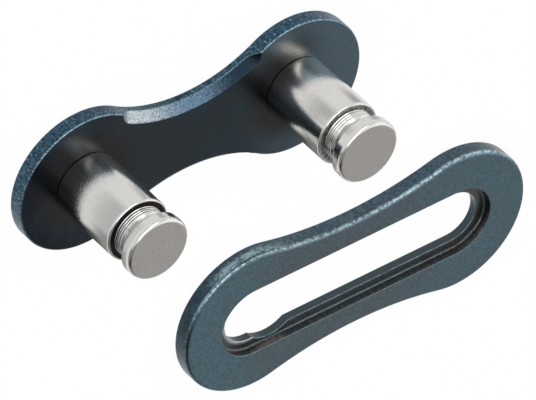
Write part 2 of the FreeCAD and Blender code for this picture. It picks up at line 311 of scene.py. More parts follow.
@dataclass(frozen=True)
class LinkOutline:
    """Outline of a link plate: two round lobes joined by two hollow arcs at the waist.

    Attributes:
        half_pitch: Distance from the middle of the plate to a pin axis.
        lobe: Radius of the lobes.
        waist: Width at the middle of the plate.
    """

    half_pitch: float
    lobe: float
    waist: float

    @property
    def hollow(self) -> float:
        """Radius of the waist arcs, which touch both lobes."""
        half = self.waist / 2
        return (self.half_pitch**2 + half**2 - self.lobe**2) / (2 * (self.lobe - half))

    @property
    def rise(self) -> float:
        """Distance of the waist arcs' centres from the pitch line."""
        return self.waist / 2 + self.hollow

    @property
    def join(self) -> float:
        """Place on the pitch line where a lobe passes into a waist arc."""
        return self.half_pitch * self.hollow / (self.hollow + self.lobe)

    def edge(self, stations: Stations) -> tuple[Array, Array]:
        """Find the outline at each station, from the equations of its circles.

        Args:
            stations: Stations round the plate.

        Returns:
            The points of the outline and its outward normals.
        """
        x = stations.foot
        side = np.sign(stations.aim[:, 1])
        past = np.abs(x) - self.half_pitch
        on_lobe = np.sqrt(np.maximum(self.lobe**2 - past**2, 0))
        on_waist = self.rise - np.sqrt(self.hollow**2 - x**2)
        lobed = np.abs(x) > self.join
        reach = np.where(stations.across, np.where(lobed, on_lobe, on_waist), self.lobe)
        points = stations.loop(reach)
        pin_axis = np.stack([np.sign(x) * self.half_pitch, np.zeros_like(x)], axis=1)
        arc_centre = np.stack([np.zeros_like(x), side * self.rise], axis=1)
        lobe_normal = (points - pin_axis) / self.lobe
        waist_normal = (arc_centre - points) / self.hollow
        return points, np.where(lobed[:, None] | ~stations.across[:, None], lobe_normal, waist_normal)


def stack_rows(rows: list[tuple[Array, Amount]]) -> Array:
    """Stack loops and their heights into a grid of points.

    Args:
        rows: Pairs of a loop, two coordinates a point, and its height or heights.

    Returns:
        Rows by columns by three coordinates.
    """
    return np.stack(
        [np.column_stack([loop, np.broadcast_to(height, len(loop))]) for loop, height in rows]
    )


def between(first: Array, last: Array, shares: Array) -> list[Array]:
    """Return the loops that lie at the given shares of the way from one loop to another."""
    return [first * (1 - share) + last * share for share in shares]


class LoopStack:
    """The loops of a plate's section, one above or beside the other, with their masks."""

    def __init__(self, *marks: Mark) -> None:
        """Start an empty stack that keeps the given masks."""
        self.rows: list[tuple[Array, Amount]] = []
        self.table: dict[Mark, list[Array]] = {mark: [] for mark in marks}

    def add(self, loop: Array, height: Amount, **marks: Amount) -> None:
        """Add one loop.

        Args:
            loop: Its points, two coordinates each.
            height: Its height, or the height of each of its points.
            marks: Values of its masks, by their names in small letters; the others are 0.
        """
        self.rows.append((loop, height))
        for mark, values in self.table.items():
            values.append(np.broadcast_to(marks.get(mark.name.lower(), 0.0), len(loop)))

    def masks(self) -> Marks:
        """Return the masks of all the loops."""
        return {mark.value: np.stack(values) for mark, values in self.table.items()}


# Materials


class Socket:
    """A number, colour or vector inside a material; sums of numbers become Math nodes."""

    def __init__(self, shader: "Shader", output: bpy.types.NodeSocket) -> None:
        """Wrap one output of one node."""
        self.shader = shader
        self.output = output

    def _maths(self, operation: str, first: "Value", second: "Value") -> "Socket":
        """Add a Math node and return its result."""
        return self.shader.node("ShaderNodeMath", {"operation": operation}, {0: first, 1: second})

    def __add__(self, other: "Value") -> "Socket":
        """Add a number."""
        return self._maths("ADD", self, other)

    def __radd__(self, other: "Value") -> "Socket":
        """Add to a number."""
        return self._maths("ADD", other, self)

    def __sub__(self, other: "Value") -> "Socket":
        """Take a number away."""
        return self._maths("SUBTRACT", self, other)

    def __rsub__(self, other: "Value") -> "Socket":
        """Take away from a number."""
        return self._maths("SUBTRACT", other, self)

    def __mul__(self, other: "Value") -> "Socket":
        """Multiply by a number."""
        return self._maths("MULTIPLY", self, other)

    def __rmul__(self, other: "Value") -> "Socket":
        """Multiply a number."""
        return self._maths("MULTIPLY", other, self)

    def step(self, low: float, high: float) -> "Socket":
        """Rise smoothly from 0 at low to 1 at high."""
        inputs = {"Value": self, "From Min": low, "From Max": high}
        return self.shader.node("ShaderNodeMapRange", {"interpolation_type": "SMOOTHSTEP"}, inputs)


Value = Socket | float


class Shader:
    """A material in the making: its node tree and the ways of adding to it."""

    def __init__(self, name: str) -> None:
        """Start an empty material.

        Args:
            name: Name of the material.
        """
        self.material = bpy.data.materials.new(name)
        self.material.use_nodes = True
        self.tree = self.material.node_tree
        self.tree.nodes.clear()

    def node(
        self,
        kind: str,
        settings: dict[str, Any] | None = None,
        inputs: dict[int | str, Any] | None = None,
        output: int | str = 0,
    ) -> Socket:
        """Add any node.

        Args:
            kind: The node's type.
            settings: Its properties, which are set first.
            inputs: Values or sockets for its inputs.
            output: Which output is wanted.

        Returns:
            That output.
        """
        made = self.tree.nodes.new(kind)
        for key, value in (settings or {}).items():
            setattr(made, key, value)
        for key, value in (inputs or {}).items():
            if isinstance(value, Socket):
                self.tree.links.new(value.output, made.inputs[key])
            elif isinstance(value, tuple) and len(value) == 3 and made.inputs[key].type == "RGBA":
                made.inputs[key].default_value = (*value, 1.0)
            else:
                made.inputs[key].default_value = value
        return Socket(self, made.outputs[output])

    def mark(self, mark: Mark) -> Socket:
        """Read one of the mesh's masks."""
        return self.node("ShaderNodeAttribute", {"attribute_name": mark.value}, output="Fac")

    def place(self, stretch: Vector3 = (1.0, 1.0, 1.0)) -> Socket:
        """Find the place on the object in millimetres.

        Args:
            stretch: What each axis is divided by.

        Returns:
            The place.
        """
        where = self.node("ShaderNodeTexCoord", output="Object")
        scale = tuple(1 / (MM * share) for share in stretch)
        return self.node("ShaderNodeVectorMath", {"operation": "MULTIPLY"}, {0: where, 1: scale})

    def along(self) -> Socket:
        """Return the distance along the pitch line of the pin plate, in millimetres."""
        return self.node("ShaderNodeSeparateXYZ", None, {0: self.place()})

    def noise(self, size: float, stretch: Vector3 = (1.0, 1.0, 1.0), detail: float = 2.0) -> Socket:
        """Return soft noise from 0 to 1, about 0.5, whose spots are so many millimetres wide."""
        inputs = {"Vector": self.place(stretch), "Scale": 1 / size, "Detail": detail}
        return self.node("ShaderNodeTexNoise", None, inputs)

    def cells(self, size: float) -> Socket:
        """Return the distance to the nearest of scattered points, for a hammered surface."""
        inputs = {"Vector": self.place(), "Scale": 1 / size}
        return self.node("ShaderNodeTexVoronoi", {"feature": "SMOOTH_F1"}, inputs)

    def mix(self, first: Socket | Colour, second: Socket | Colour, share: Value) -> Socket:
        """Mix two colours."""
        inputs = {0: share, 6: first, 7: second}
        return self.node("ShaderNodeMix", {"data_type": "RGBA"}, inputs, output=2)

    def bump(self, height: Value, depth: float) -> Socket:
        """Turn a height into a normal, for a relief so many millimetres deep."""
        return self.node("ShaderNodeBump", None, {"Height": height, "Distance": depth * MM})

    def metal(self, colour: Socket, roughness: Value, normal: Socket) -> bpy.types.Material:
        """Finish the material as uncoated metal.

        Args:
            colour: Colour of its reflections.
            roughness: Roughness over the surface.
            normal: Normal with its fine relief.

        Returns:
            The finished material.
        """
        inputs = {"Base Color": colour, "Metallic": 1.0, "Roughness": roughness, "Normal": normal}
        return self.finish(self.node("ShaderNodeBsdfPrincipled", None, inputs))

    def finish(self, surface: Socket) -> bpy.types.Material:
        """Let a shader be the material's surface.

        Args:
            surface: The shader.

        Returns:
            The finished material.
        """
        end = self.tree.nodes.new("ShaderNodeOutputMaterial")
        self.tree.links.new(surface.output, end.inputs["Surface"])
        return self.material


@dataclass(frozen=True)
class BrightSteel:
    """Turned and polished steel of the pins, satin on the flat ends of their heads.

    Attributes:
        polished: Colour of the turned sides.
        satin: Colour of the head's flat face.
        speck: Colour of the darker specks in both.
        grime: Colour of the painted shade on the shoulder and in the rings.
        gloss: Roughness of the turned sides.
        matt: Roughness of the flat face.
        relief: Depth of the fine relief.
    """

    polished: Colour = (0.66, 0.65, 0.63)
    satin: Colour = (0.62, 0.595, 0.57)
    speck: Colour = (0.36, 0.345, 0.33)
    grime: Colour = (0.035, 0.030, 0.026)
    gloss: float = 0.17
    matt: float = 0.38
    relief: float = 0.006

    def material(self) -> bpy.types.Material:
        """Make the material: fine grain all over, faint turning lines, painted shade in the corners.

        Returns:
            The finished material.
        """
        shader = Shader("bright_turned_steel")
        end, grime = shader.mark(Mark.END), shader.mark(Mark.GRIME)
        grain = shader.noise(0.085, detail=4.0)
        coarse = shader.noise(0.16, detail=3.0)
        turning = shader.noise(0.035, (40.0, 40.0, 1.0), detail=2.0)
        side = shader.mix(self.polished, self.speck, coarse.step(0.5, 0.8) * 0.25)
        face = shader.mix(self.satin, self.speck, grain.step(0.42, 0.75) * 0.5)
        colour = shader.mix(side, face, end)
        # Painted shade on the shoulder, in the ring grooves and on the neck.
        colour = shader.mix(colour, self.grime, (grime * (coarse + 0.6)).step(0.3, 0.9))
        roughness = self.gloss + end * (self.matt - self.gloss) + (grain - 0.5) * 0.14 + grime * 0.25
        height = grain * (0.35 + end * 0.5) + turning * (1 - end) * 0.3
        return shader.metal(colour, roughness, shader.bump(height, self.relief))


@dataclass(frozen=True)
class BluedSteel:
    """Dark blued sheet of the pin plate, with brighter blue sheared edges and scoops.

    Attributes:
        faces: Colours of the face at the left end, at the waist and at the right end; the darkening
            towards the left end is painted shading.
        cloud: Colour of the bluer clouds on it.
        worn: Colour of the face beside the pins.
        grime: Colour of the painted shade beside the pins.
        bare: Colour of the painted reflection streaks beside the pins.
        wall: Colours of the sheared edge, dark and light.
        spark: Colour of the bright torn streaks in it.
        line: Colour of the thin line where the edge meets the face: edge wear with a painted highlight.
        scoop: Colours of the pressed scoops from their left ends to their right ends: a painted
            highlight passing into painted shade.
        fades: Places along the pitch line between which one face colour passes into the next.
        scoop_fades: The same of the scoop colours.
        gloss: Roughness of the faces.
        relief: Depth of the fine relief.
    """

    faces: tuple[Colour, Colour, Colour] = (
        (0.019, 0.026, 0.036),
        (0.044, 0.057, 0.068),
        (0.128, 0.188, 0.228),
    )
    cloud: Colour = (0.032, 0.075, 0.098)
    worn: Colour = (0.046, 0.043, 0.043)
    grime: Colour = (0.010, 0.010, 0.012)
    bare: Colour = (0.38, 0.375, 0.35)
    wall: tuple[Colour, Colour] = ((0.016, 0.038, 0.058), (0.056, 0.110, 0.160))
    spark: Colour = (0.30, 0.46, 0.57)
    line: Colour = (0.28, 0.43, 0.52)
    scoop: tuple[Colour, Colour, Colour] = (
        (0.56, 0.63, 0.67),
        (0.130, 0.215, 0.300),
        (0.014, 0.025, 0.038),
    )
    fades: tuple[Pair, Pair] = ((-9.5, -3.5), (2.6, 8.6))
    scoop_fades: tuple[Pair, Pair] = ((-3.5, 0.0), (-0.2, 2.8))
    gloss: float = 0.27
    relief: float = 0.012

    def material(self) -> bpy.types.Material:
        """Make the material: cloudy satin faces with painted shading that darkens them towards the left
        end, mottled walls, and scoops painted bright at their left ends and dark at their right ends as
        painted highlight and painted shade.

        Returns:
            The finished material.
        """
        shader = Shader("dark_blued_steel")
        wall, rim, scoop, worn, grime, bare = (
            shader.mark(mark)
            for mark in (Mark.WALL, Mark.RIM, Mark.SCOOP, Mark.WORN, Mark.GRIME, Mark.BARE)
        )
        cloud = shader.noise(1.6, detail=5.0)
        grain = shader.noise(0.07, detail=3.0)
        mottle = shader.noise(0.11, (1.0, 1.0, 1.6), detail=4.0)
        streak = shader.noise(0.09, (1.0, 1.0, 4.5), detail=3.0)
        along = shader.along() + (cloud - 0.5) * 4.0
        # Painted shading: the face darkens from the right end towards the left end.
        face = shader.mix(self.faces[0], self.faces[1], along.step(*self.fades[0]))
        face = shader.mix(face, self.faces[2], along.step(*self.fades[1]))
        face = shader.mix(face, self.cloud, cloud.step(0.52, 0.75) * 0.6)
        face = shader.mix(face, self.worn, worn)
        # Painted shade on one side of each pin, then a painted reflection streak beside it.
        face = shader.mix(face, self.grime, grime)
        face = shader.mix(face, self.bare, bare * (grain * 0.8 + 0.6))
        face = shader.mix(face, self.faces[0], grain.step(0.5, 0.8) * 0.35)
        torn = shader.mix(self.wall[0], self.wall[1], mottle.step(0.32, 0.68))
        torn = shader.mix(torn, self.spark, streak.step(0.56, 0.72) * mottle.step(0.45, 0.65) * 0.8)
        # Painted highlight and shade: the scoops run from bright at their left ends to dark at their
        # right ends.
        shade = shader.along() + (mottle - 0.5) * 2.0
        pressed = shader.mix(self.scoop[0], self.scoop[1], shade.step(*self.scoop_fades[0]))
        pressed = shader.mix(pressed, self.scoop[2], shade.step(*self.scoop_fades[1]))
        pressed = shader.mix(pressed, self.scoop[2], grain.step(0.42, 0.66) * 0.6)
        colour = shader.mix(face, torn, wall)
        colour = shader.mix(colour, pressed, scoop)
        # Edge wear with a painted highlight line along the round at the inner face.
        colour = shader.mix(colour, self.line, rim * (0.2 + mottle.step(0.35, 0.65) * 0.7))
        roughness = self.gloss + (grain - 0.5) * 0.2 + scoop * 0.08 + wall * 0.08
        height = grain * (0.3 + wall * 0.4 + scoop * 1.2) + mottle * (wall * 0.6 + scoop * 1.5)
        return shader.metal(colour, roughness, shader.bump(height, self.relief))


@dataclass(frozen=True)
class BluedFace:
    """Teal-blue face of the slotted plate, with a hammered rolled edge and a dark recess.

    Attributes:
        faces: Colours of the face at the left end, at the waist and at the right end.
        grey: Colour of the worn patches on it.
        grain: Colour of its fine specks.
        roll: Colours of the rolled edge, dark and light.
        navy: Colour of the rolled edge at the left end.
        spark: Colour of the painted glints on the dimples in it.
        step: Colours of the recess wall, dark and light.
        ledge: Colours of the recess floor, worn and blue.
        slot: Colour of the slot wall.
        line: Colour of the painted highlight lines along the edges.
        bare: Colour of the painted highlight round the seat.
        fades: Places along the pitch line between which one face colour passes into the next.
        navy_fade: The same of the navy and the rest of the rolled edge.
        gloss: Roughness of the steel.
        relief: Depth of the fine relief.
    """

    faces: tuple[Colour, Colour, Colour] = (
        (0.150, 0.265, 0.320),
        (0.165, 0.220, 0.250),
        (0.150, 0.240, 0.290),
    )
    grey: Colour = (0.175, 0.205, 0.225)
    grain: Colour = (0.080, 0.125, 0.155)
    roll: tuple[Colour, Colour] = ((0.042, 0.066, 0.085), (0.075, 0.120, 0.150))
    navy: Colour = (0.014, 0.027, 0.042)
    spark: Colour = (0.50, 0.66, 0.74)
    step: tuple[Colour, Colour] = ((0.072, 0.070, 0.070), (0.28, 0.265, 0.25))
    ledge: tuple[Colour, Colour] = ((0.150, 0.145, 0.140), (0.155, 0.200, 0.225))
    slot: Colour = (0.048, 0.066, 0.074)
    line: Colour = (0.42, 0.58, 0.65)
    bare: Colour = (0.78, 0.86, 0.92)
    fades: tuple[Pair, Pair] = ((1.0, 7.0), (12.0, 17.0))
    navy_fade: Pair = (-2.5, 4.5)
    gloss: float = 0.30
    relief: float = 0.014

    def material(self) -> bpy.types.Material:
        """Make the material: satin face, hammered roll, striated recess wall, and painted highlights:
        bright lines along the edges, glints on the roll's dimples and a bright band round the seat.

        Returns:
            The finished material.
        """
        shader = Shader("teal_blued_steel")
        roll, step, ledge, slot, rim, bare = (
            shader.mark(mark)
            for mark in (Mark.ROLL, Mark.STEP, Mark.LEDGE, Mark.SLOT, Mark.RIM, Mark.BARE)
        )
        cloud = shader.noise(1.3, detail=5.0)
        grain = shader.noise(0.07, detail=3.0)
        fine = shader.noise(0.13, detail=4.0)
        mottle = shader.noise(0.2, detail=4.0)
        dimple = shader.cells(0.25)
        streak = shader.noise(0.07, (1.0, 1.0, 8.0), detail=2.0)
        along = shader.along() + (cloud - 0.5) * 5.0
        face = shader.mix(self.faces[0], self.faces[1], along.step(*self.fades[0]))
        face = shader.mix(face, self.faces[2], along.step(*self.fades[1]))
        face = shader.mix(face, self.grey, cloud.step(0.48, 0.72) * 0.5)
        face = shader.mix(face, self.grain, fine.step(0.36, 0.72) * 0.6)
        rolled = shader.mix(self.roll[0], self.roll[1], mottle.step(0.35, 0.7))
        rolled = shader.mix(self.navy, rolled, along.step(*self.navy_fade))
        # Painted glints: bright dimples only along the painted highlight lines.
        rolled = shader.mix(rolled, self.spark, (1 - dimple).step(0.75, 0.95) * rim)
        walled = shader.mix(self.step[0], self.step[1], streak.step(0.5, 0.75) * 0.45)
        floor = shader.mix(self.ledge[0], self.ledge[1], cloud.step(0.4, 0.6))
        colour = shader.mix(face, rolled, roll)
        colour = shader.mix(colour, walled, step)
        colour = shader.mix(colour, floor, ledge)
        colour = shader.mix(colour, self.slot, slot)
        # Painted highlight lines along the edges, then the painted highlight round the seat.
        colour = shader.mix(colour, self.line, rim * (0.25 + mottle.step(0.35, 0.6) * 0.75))
        colour = shader.mix(colour, self.bare, bare)
        roughness = self.gloss + (grain - 0.5) * 0.2 - bare * 0.1
        height = grain * 0.3 + dimple * rim * 1.8 + mottle * roll + streak * (step + slot) * 0.4
        return shader.metal(colour, roughness, shader.bump(height, self.relief))


# Pieces


@dataclass
class SubAssembly:
    """A piece that stands for one node of the frame.

    Attributes:
        node: Name of that node.
        finish: Slot of the piece's finish; not used.
    """

    node: str
    finish: Finish

    def patches(self) -> list[Patch]:
        """Return the grids of the piece."""
        raise NotImplementedError

    def build(self, material: bpy.types.Material) -> bpy.types.Object:
        """Make the piece, dress it and let it stand for its node.

        Args:
            material: The finish it wears.

        Returns:
            The new object.
        """
        piece = make_piece(f"{self.node}_surface", self.patches())
        piece.data.materials.append(material)
        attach(piece, "root")
        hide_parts(self.node)
        LOG.info("%s: %d faces", piece.name, len(piece.data.polygons))
        return piece


@dataclass
class Pin(SubAssembly):
    """A turned pin: peened tenon, shaft, shoulder, ringed collar, plain neck and round head.

    Attributes:
        seat: Height of the pin plate's inner face, where the shaft starts.
        dish: Radius and depth of the dish in the peened end.
        tenon: Radius of the tenon.
        spread: How far the peened end spreads past the tenon, and over what height.
        collar: Radius and length of the collar.
        neck: Radius and length of the neck.
        head: Radius and height of the head.
        rings: How many rings are turned into the collar, how far apart and how deep.
        rounds: Rounds of the shaft's foot, the shoulder, the head's underside and its rim.
        fine_rounds: Rounds of the peened rim, the rings, the collar's end and the neck.
        painted_shading: How strong the painted shade on the shoulder is, from 0 to 1.
        painted_shading_shares: Share of that painted shade in the rings and on the neck.
        sides: Points round the pin.
    """

    seat: float = 0.87
    dish: Pair = (1.0, 0.08)
    tenon: float = 1.45
    spread: Pair = (0.16, 0.25)
    collar: Pair = (1.42, 0.48)
    neck: Pair = (1.23, 0.56)
    head: Pair = (1.79, 0.72)
    rings: tuple[int, float, float] = (3, 0.15, 0.05)
    rounds: tuple[float, float, float, float] = (0.06, 0.12, 0.1, 0.24)
    fine_rounds: tuple[float, float, float, float] = (0.02, 0.012, 0.03, 0.04)
    painted_shading: float = 1.0
    painted_shading_shares: Pair = (0.8, 0.35)
    sides: int = 176

    def profile(self, shaft: float, top: float) -> Array:
        """Draw the pin's half section from the middle of its foot to the middle of its head.

        Args:
            shaft: Radius of the shaft.
            top: Height of the head's flat face.

        Returns:
            Points of the line, radius and height.
        """
        foot, shoulder_round, under, rim = self.rounds
        peened, ring_round, collar_round, neck_round = self.fine_rounds
        underside = top - self.head[1]
        collar_end = underside - self.neck[1]
        shoulder = collar_end - self.collar[1]
        count, spacing, depth = self.rings
        ring_corners = []
        for number in range(count):
            middle = shoulder + spacing * (number + 0.5)
            ring_corners += [
                (self.collar[0], middle - depth, ring_round),
                (self.collar[0] - depth, middle, ring_round),
                (self.collar[0], middle + depth, ring_round),
            ]
        return rounded_path(
            [
                (0, self.dish[1], 0),
                (self.dish[0], 0, 0),
                (self.tenon + self.spread[0], 0, peened),
                (self.tenon, self.spread[1], 0),
                (self.tenon, self.seat, 0),
                (shaft, self.seat, foot),
                (shaft, shoulder, shoulder_round),
                (self.collar[0], shoulder, ring_round),
                *ring_corners,
                (self.collar[0], collar_end, collar_round),
                (self.neck[0], collar_end + self.collar[0] - self.neck[0], neck_round),
                (self.neck[0], underside, neck_round),
                (self.head[0], underside, under),
                (self.head[0], top, rim),
                (0, top, 0),
            ]
        )

    def marks(self, radius: Array, height: Array, shaft: float, top: float) -> Marks:
        """Mark the head's flat face and the painted shade on the shoulder, in the rings and on the
        neck.

        Args:
            radius: Radius of each point of the half section.
            height: Height of each point.
            shaft: Radius of the shaft.
            top: Height of the head's flat face.

        Returns:
            The two masks.
        """
        # The borders' blur, and where the painted shade fades below the shoulder and in from its edge.
        blur, below, inward = 0.02, (0.03, 0.01), (0.14, 0.06)
        flat = self.head[0] - self.rounds[3]
        end = np.isclose(height, top) * (1 - smooth(flat - blur, flat + blur, radius))
        neck = top - self.head[1] - self.neck[1]
        shoulder = neck - self.collar[1]
        level = smooth(shoulder - below[0], shoulder - below[1], height) * (height < shoulder + blur)
        on_shoulder = level * (1 - smooth(-inward[0], -inward[1], radius - shaft))
        sunk = smooth(0.0, self.rings[2], self.collar[0] - radius)
        in_rings = self.painted_shading_shares[0] * sunk * (height > shoulder) * (height < neck)
        on_neck = self.painted_shading_shares[1] * (height > neck) * (height < neck + self.neck[1])
        # Painted shade on the shoulder, in the ring grooves and under the head.
        grime = self.painted_shading * np.maximum(np.maximum(on_shoulder, in_rings), on_neck)
        return {Mark.END.value: end, Mark.GRIME.value: grime}

    def patches(self) -> list[Patch]:
        """Turn the half section about the pin axis: x = r cos(turn), y = r sin(turn).

        Returns:
            The pin as one grid.
        """
        low, high = (np.array(corner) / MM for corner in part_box(self.node))
        axis = (low + high)[:2] / 2
        shaft, top = float(high[0] - low[0]) / 2, float(high[2])
        line = self.profile(shaft, top)
        turn = np.linspace(0, 2 * math.pi, self.sides, endpoint=False)
        radius, height = line[:, :1], line[:, 1:]
        x, y = axis[0] + radius * np.cos(turn), axis[1] + radius * np.sin(turn)
        grid = np.stack(np.broadcast_arrays(x, y, height), axis=-1)
        masks = self.marks(radius, height, shaft, top)
        return [Patch(grid, {name: np.broadcast_to(mask, x.shape) for name, mask in masks.items()})]


@dataclass(frozen=True)
class WearAndPaintedLight:
    """Worn patches of the pin plate's inner face beside its pins, with painted shade on one side of
    each pin and a painted reflection streak; places are measured from a pin axis.

    Attributes:
        worn: Radii at which the worn patch starts to fade and ends.
        clean: Direction of the side of the right pin that is hardly worn, in degrees.
        shaded_side: Direction of the side of both pins that carries painted shade, in degrees.
        painted_shading: Radii at which the painted shade starts to fade and ends.
        start: Where the painted reflection streak starts.
        run: Direction in which the streak runs.
        half_width: Half width of the streak.
        rise: Distances along the streak between which it appears.
        fade: Distances along the streak between which it fades.
        faint: Strength of the streak at the left pin.
    """

    worn: Pair = (2.0, 3.6)
    clean: float = 25.0
    shaded_side: float = 128.0
    painted_shading: Pair = (2.2, 4.2)
    start: Pair = (0.49, 1.84)
    run: Pair = (-0.72, 0.69)
    half_width: float = 0.25
    rise: Pair = (-0.3, 0.6)
    fade: Pair = (1.2, 2.6)
    faint: float = 0.2

    def marks(self, points: Array, half_pitch: float) -> Marks:
        """Mark the worn patch, the painted shade and the painted reflection streak.

        Args:
            points: Places on the face, two or three coordinates each.
            half_pitch: Distance from the middle of the plate to a pin axis.

        Returns:
            The masks.
        """
        x, y = points[..., 0], points[..., 1]
        at_right = x > 0
        across = x - np.copysign(half_pitch, x)
        turn = np.arctan2(y, across)
        from_pin = np.hypot(across, y)
        clean = 0.9 * at_right * smooth(0.2, 0.9, np.cos(turn - math.radians(self.clean)))
        # Painted shade on one side of each pin.
        shaded_side = 0.6 * smooth(0.45, 0.95, np.cos(turn - math.radians(self.shaded_side)))
        # Painted reflection streak beside each pin, faint at the left one.
        offset = np.stack([across, y], axis=-1) - self.start
        along = offset @ np.array(self.run)
        beside = offset @ np.array([self.run[1], -self.run[0]])
        streak = np.exp(-((beside / self.half_width) ** 2)) * np.where(at_right, 1.0, self.faint)
        return {
            Mark.WORN.value: (1 - smooth(*self.worn, from_pin)) * (1 - clean),
            Mark.GRIME.value: (1 - smooth(*self.painted_shading, from_pin)) * shaded_side,
            Mark.BARE.value: streak * smooth(*self.rise, along) * (1 - smooth(*self.fade, along)),
        }


@dataclass
class PinPlate(SubAssembly):
    """The outer plate that carries the pins: dark sheet with a pressed scoop at each waist.

    Attributes:
        waist: Width at the waist.
        edge_round: Rounding of the sheared edges.
        scoops: Width on the inner face, and depth at the edge of the plate, of the deep scoop
            beyond the pitch line and of the shallow one before it.
        overrun: How far the scoops' tools reached past the edge.
        scoop_angle: Half of the arc that each scoop follows, in radians.
        scoop_round: Rounding of the edge below a scoop.
        hole: Radius of the pin holes at the inner face and at the back.
        rivet_depth: Depth of the countersink at the back.
        flats: Where the back and the inner face start, in radii of the rounds beside them.
        front: Height above which a point belongs to the inner face and not to the back.
        wear_and_painted_light: Worn patches of the inner face, with painted shade and a painted
            reflection streak beside the pins.
    """

    waist: float = 4.24
    edge_round: float = 0.09
    scoops: tuple[Pair, Pair] = ((0.5, 0.45), (0.18, 0.08))
    overrun: float = 0.25
    scoop_angle: float = math.radians(26.5)
    scoop_round: float = 0.03
    hole: Pair = (1.45, 1.61)
    rivet_depth: float = 0.25
    flats: Pair = (1.35, 1.05)
    front: float = 0.3
    wear_and_painted_light: WearAndPaintedLight = WearAndPaintedLight()

    def scoop_depth(self, outline: LinkOutline, points: Array) -> Array:
        """Work out how far the inner face is pressed down.

        The tool's tip follows an arc just outside the waist and its sides rise evenly, so the
        depth falls in proportion to the distance from that arc.

        Args:
            outline: Outline of the plate.
            points: Places on the plate, two coordinates each.

        Returns:
            Depth at each place.
        """
        width, drop = np.where(points[:, 1:] > 0, *np.array(self.scoops)).T
        reach = width + self.overrun
        deepest = drop * reach / width
        path = outline.hollow - self.overrun
        offset = np.abs(points) - np.array([0.0, outline.rise])
        angle = np.arctan2(offset[:, 0], -offset[:, 1])
        held = np.minimum(angle, self.scoop_angle)
        tip = path * np.stack([np.sin(held), -np.cos(held)], axis=1)
        distance = np.linalg.norm(offset - tip, axis=1)
        return deepest * np.maximum(1 - distance / reach, 0)

    def scoop_border(self, outline: LinkOutline, stations: Stations) -> Array:
        """Work out how far in from the edge the scoop reaches at each station.

        Past the end of the tool's arc the border is a circle about that end: the root of the
        reach squared less the distance past the end squared, less the overrun.

        Args:
            outline: Outline of the plate.
            stations: Stations round the plate.

        Returns:
            Distance from the edge at each station, never quite 0.
        """
        least = 0.02
        points, _ = outline.edge(stations)
        offset = np.abs(points) - np.array([0.0, outline.rise])
        angle = np.arctan2(offset[:, 0], -offset[:, 1])
        past = (angle - self.scoop_angle) * (outline.hollow - self.overrun)
        past = np.where(stations.across & (np.abs(stations.foot) <= outline.join), past, np.inf)
        width = np.where(points[:, 1] > 0, self.scoops[0][0], self.scoops[1][0])
        reach = width + self.overrun
        rounded = np.sqrt(np.maximum(reach**2 - np.maximum(past, 0) ** 2, 0)) - self.overrun
        end = np.sqrt(reach**2 - self.overrun**2)
        beyond = np.minimum(least + past - end, width)
        return np.where(past < end, np.maximum(rounded, least), beyond)

    def patches(self) -> list[Patch]:
        """Work out the ring of faces round the plate, the panels between the pins and the holes.

        The ring's loops run from the holes at the back over the edge and the scoops to the holes
        at the inner face.

        Returns:
            The grids of the plate.
        """
        high = np.array(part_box(self.node)[1]) / MM
        lobe, top = float(high[1]), float(high[2])
        outline = LinkOutline(float(high[0]) - lobe, lobe, self.waist)
        stations = Stations.around(outline.half_pitch, [], STATION_SPACING)
        edge, normal = outline.edge(stations)
        border = self.scoop_border(outline, stations)
        scooped = smooth(0.0, 0.05, self.scoop_depth(outline, edge))
        lower = self.edge_round
        upper = lower + (self.scoop_round - lower) * scooped

        def inset(distance: Amount) -> Array:
            """Return the outline moved in by a distance, which may differ along it."""
            return edge - normal * np.reshape(np.broadcast_to(distance, len(edge)), (-1, 1))

        stack = LoopStack(Mark.WALL, Mark.RIM)
        back = inset(lower * self.flats[0])
        for loop in between(stations.loop(self.hole[1]), back, np.linspace(0, 1, 5)):
            stack.add(loop, 0.0)
        turn = np.linspace(0, QUARTER, 7)
        for angle in turn:
            loop = inset(lower * (1 - math.sin(angle)))
            stack.add(loop, lower * (1 - math.cos(angle)), wall=angle / QUARTER)
        brim = top - self.scoop_depth(outline, edge)
        for share in np.linspace(0.08, 0.96, 9):
            stack.add(edge, lower + (brim - upper - lower) * share, wall=1)
        for angle in turn:
            loop = inset(upper * (1 - math.cos(angle)))
            height = top - self.scoop_depth(outline, loop) - upper * (1 - math.sin(angle))
            wall = 1 - smooth(0.3, 1.0, angle / QUARTER)
            # The rim mask puts edge wear with a painted highlight line on this round.
            stack.add(loop, height, wall=wall, rim=math.sin(2 * angle))
        start = upper * self.flats[1]
        for share in (0.12, 0.3, 0.5, 0.7, 0.86, 0.95, 1.0, 1.05, 1.2):
            loop = inset(np.maximum(start + (border - start) * share, start + 0.1 * upper * share))
            stack.add(loop, top - self.scoop_depth(outline, loop))
        last = stack.rows[-1][0]
        for loop in between(last, stations.loop(self.hole[0]), np.linspace(0.15, 1, 8)):
            stack.add(loop, top)
        grid, marks = stack_rows(stack.rows), stack.masks()
        depth = self.scoop_depth(outline, grid[..., :2].reshape(-1, 2)).reshape(grid.shape[:2])
        scoop = smooth(0.0, 0.03, depth) * (1 - marks[Mark.WALL.value]) * (grid[..., 2] > self.front)
        marks |= {Mark.SCOOP.value: scoop} | self.worn(grid, outline.half_pitch)
        ring = Patch(grid, marks)
        return [ring, *self.panels(stations, top), *self.holes(outline.half_pitch, top)]

    def worn(self, grid: Array, half_pitch: float) -> Marks:
        """Return the masks of the worn patches, the painted shade and the painted reflection streak,
        all on the inner face alone.
        """
        front = grid[..., 2] > self.front
        return {name: mask * front for name, mask in self.wear_and_painted_light.marks(grid, half_pitch).items()}

